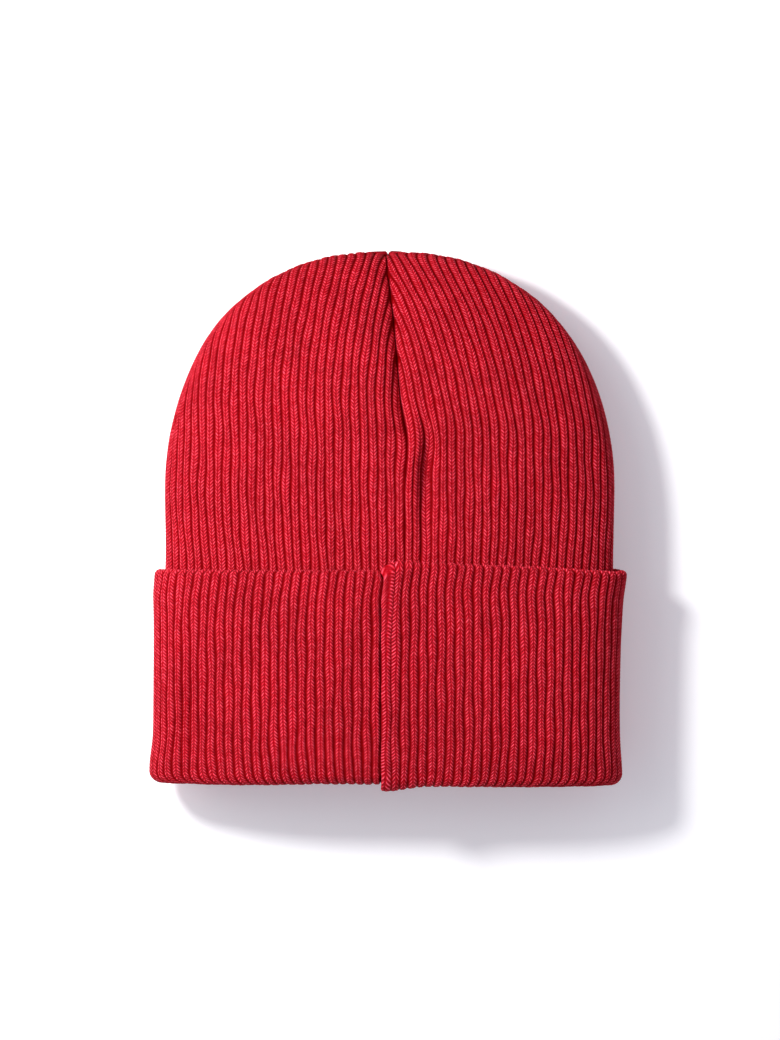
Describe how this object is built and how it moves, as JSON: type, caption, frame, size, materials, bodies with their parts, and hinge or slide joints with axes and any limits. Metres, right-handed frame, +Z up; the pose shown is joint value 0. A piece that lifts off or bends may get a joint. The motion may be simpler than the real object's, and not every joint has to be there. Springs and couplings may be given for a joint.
{
  "type": "cuffed knit beanie",
  "caption": "Rib-knit beanie with a deep turned-up cuff, double-layer body, darted crown and a seam up the back, lying flat.",
  "frame": {"origin": "on the table, under the middle of the hat's overall box", "axes": "+Z up off the table, towards the back of the hat, which faces up; +Y along the hat from its open end to the tip of the crown; +X to the right of someone looking down on it with the crown away from them"},
  "size_m": [0.2116, 0.24, 0.056],
  "materials": {
    "knit": "soft acrylic rib knit, red",
    "knit_lining": "the same rib knit, seen from inside",
    "seam_thread": "overlocked thread, matched red",
    "label_satin": "blank woven satin, off-white"
  },
  "bodies": {
    "root": {"outer_shell": "knit", "lining_shell": "knit_lining", "cuff_outer_layer": "knit", "cuff_inner_layer": "knit_lining", "back_seam": "seam_thread", "lining_back_seam": "seam_thread", "cuff_back_seam": "seam_thread", "crown_dart_seam_back": "seam_thread", "crown_dart_seam_front": "seam_thread", "crown_dart_seam_left": "seam_thread", "crown_dart_seam_right": "seam_thread", "lining_dart_seam_back": "seam_thread", "lining_dart_seam_front": "seam_thread", "lining_dart_seam_left": "seam_thread", "lining_dart_seam_right": "seam_thread", "crown_tack": "seam_thread", "care_label": "label_satin", "care_label_stitching": "seam_thread"}
  },
  "joints": []
}
